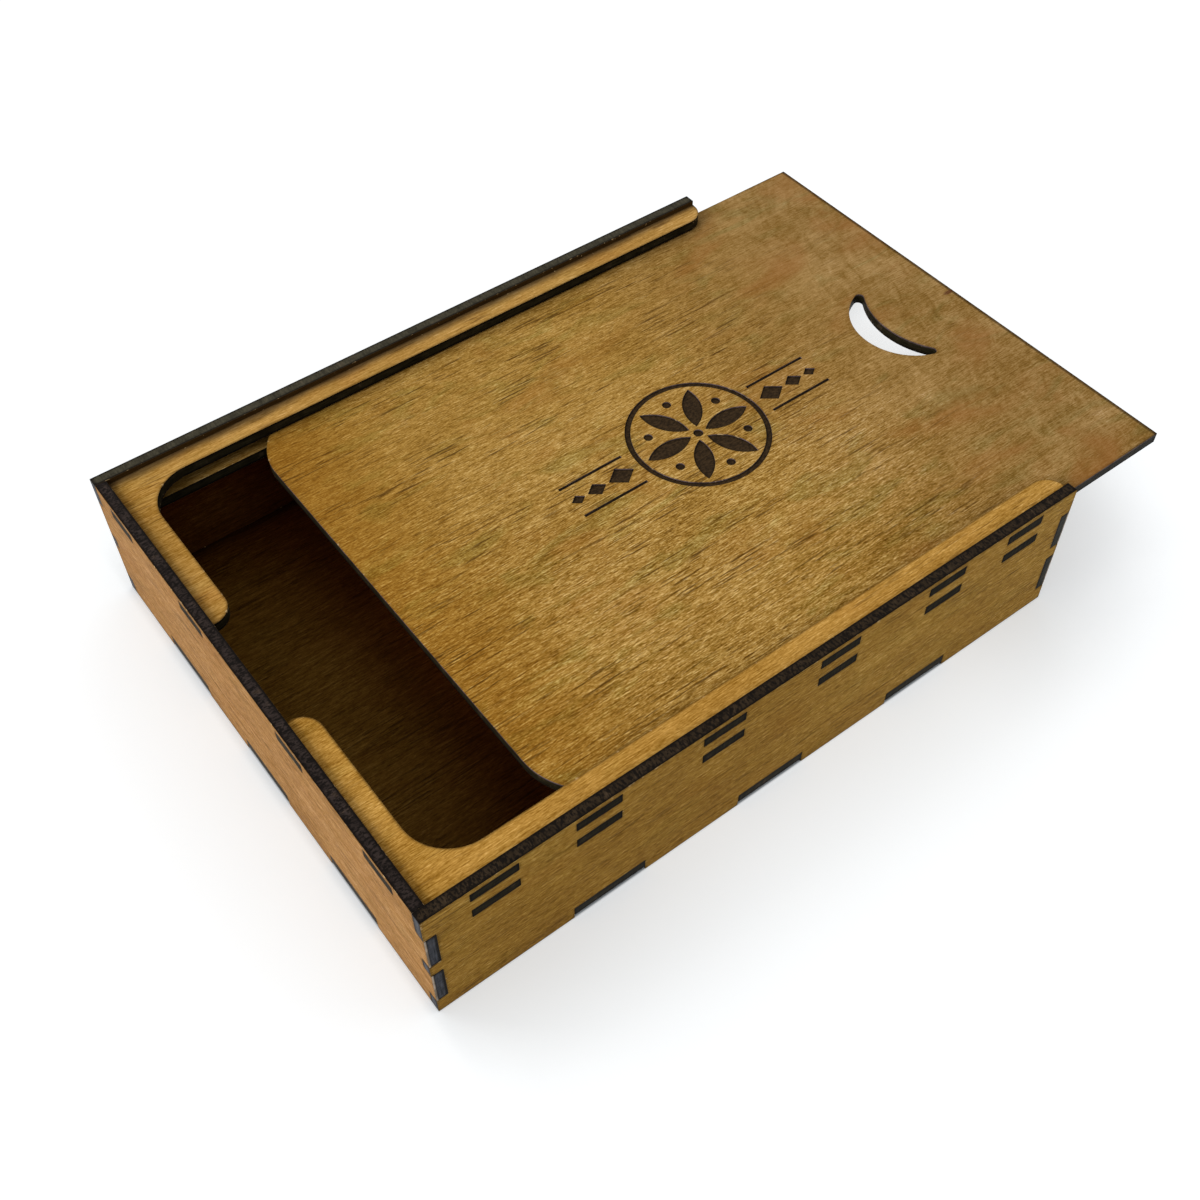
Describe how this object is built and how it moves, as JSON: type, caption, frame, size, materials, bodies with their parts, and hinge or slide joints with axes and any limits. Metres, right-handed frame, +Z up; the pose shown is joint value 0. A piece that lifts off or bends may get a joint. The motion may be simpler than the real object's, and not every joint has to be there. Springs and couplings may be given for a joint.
{
  "type": "wooden storage box",
  "caption": "Low rectangular plywood box with finger-jointed walls and a flat lid that slides out of a channel, with a crescent finger hole and an engraved rosette.",
  "frame": {"origin": "centre of the box's outline, on the surface that it stands on; the drawn-out lid isn't counted", "axes": "+X along the length, the way the lid slides out, +Y across the width, +Z up"},
  "size_m": [0.226, 0.15, 0.0414],
  "materials": {
    "long_wall_ply": "stained, satin",
    "end_wall_ply": "stained, satin",
    "frame_ply": "stained, satin",
    "lid_ply": "stained, satin",
    "inside_ply": "stained, satin"
  },
  "bodies": {
    "box": {"bottom_panel": "inside_ply", "front_wall": "long_wall_ply", "back_wall": "long_wall_ply", "closed_end_wall": "end_wall_ply", "open_end_wall": "end_wall_ply", "front_upper_frame": "frame_ply", "back_upper_frame": "frame_ply", "front_lower_rail": "inside_ply", "back_lower_rail": "inside_ply"},
    "lid": {"sliding_lid": "lid_ply"}
  },
  "joints": [
    {"name": "lid_slide", "type": "slide", "parent": "box", "child": "lid", "axis": [1, 0, 0], "range_m": [-0.036, 0.155]}
  ]
}
